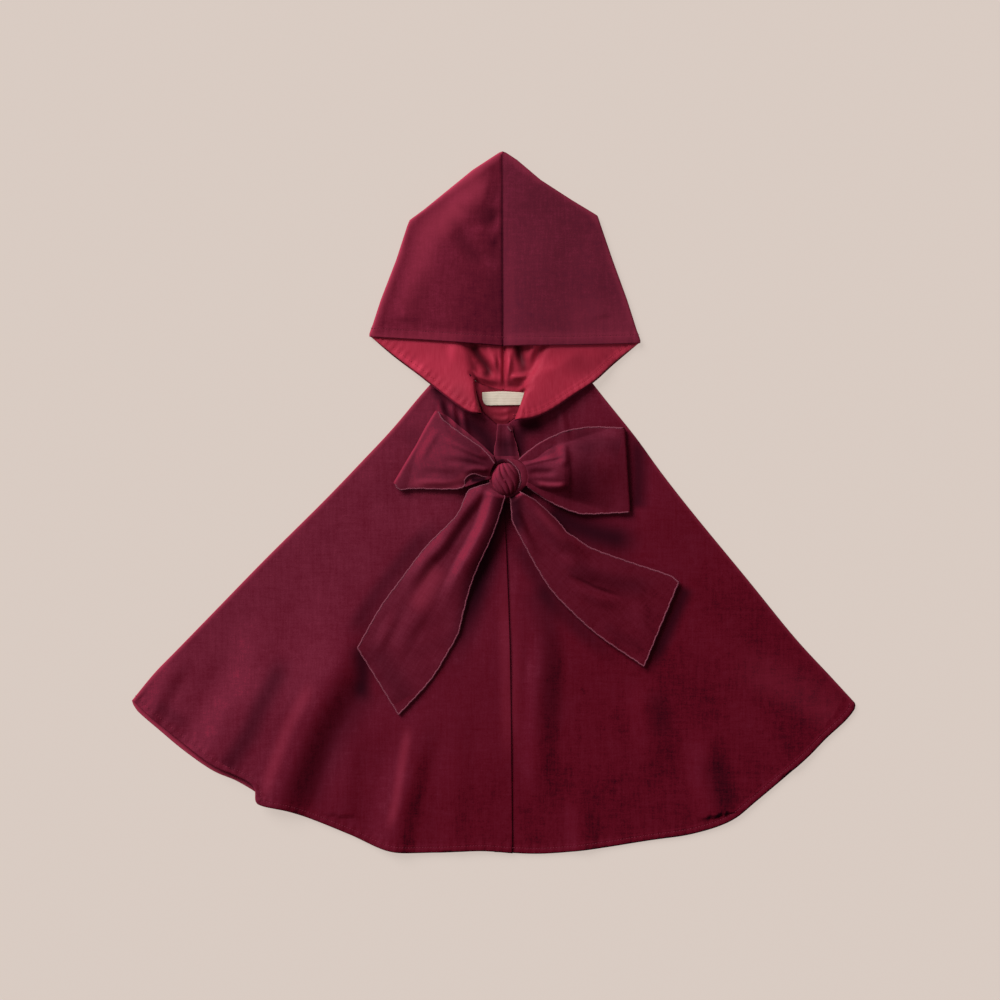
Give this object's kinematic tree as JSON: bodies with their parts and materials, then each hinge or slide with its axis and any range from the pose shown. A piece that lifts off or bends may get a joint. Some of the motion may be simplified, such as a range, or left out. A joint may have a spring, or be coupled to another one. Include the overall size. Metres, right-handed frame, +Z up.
{
  "type": "hooded cape",
  "caption": "Child's hooded cape laid flat on its back: velvet body and hood, satin-lined hood flaps turned out beside the neck, and a wide ribbon tied in a bow over the front opening.",
  "frame": {"origin": "centre of the garment's outline on the surface that it lies on", "axes": "+X to the right of the laid-out cape seen from above, +Y towards the tip of the hood, +Z up out of the surface"},
  "size_m": [0.795, 0.7724, 0.0269],
  "materials": {
    "velvet": "short-pile cotton velvet, wine red, matt with a soft nap sheen",
    "ribbon": "velvet ribbon, wine red, with an overlocked edge in dusty mauve thread",
    "satin": "woven satin lining, bright red, glossy along its folds",
    "label_tape": "cream woven tape, bare"
  },
  "bodies": {
    "root": {"cape_back": "velvet", "front_left": "velvet", "front_right": "velvet", "hood_left": "velvet", "hood_right": "velvet", "hood_lining_left": "satin", "hood_lining_right": "satin", "neck_facing": "satin", "label": "label_tape", "tie_strand": "ribbon", "bow_loop_left": "ribbon", "bow_loop_right": "ribbon", "bow_knot": "ribbon", "bow_tail_left": "ribbon", "bow_tail_right": "ribbon"}
  },
  "joints": []
}
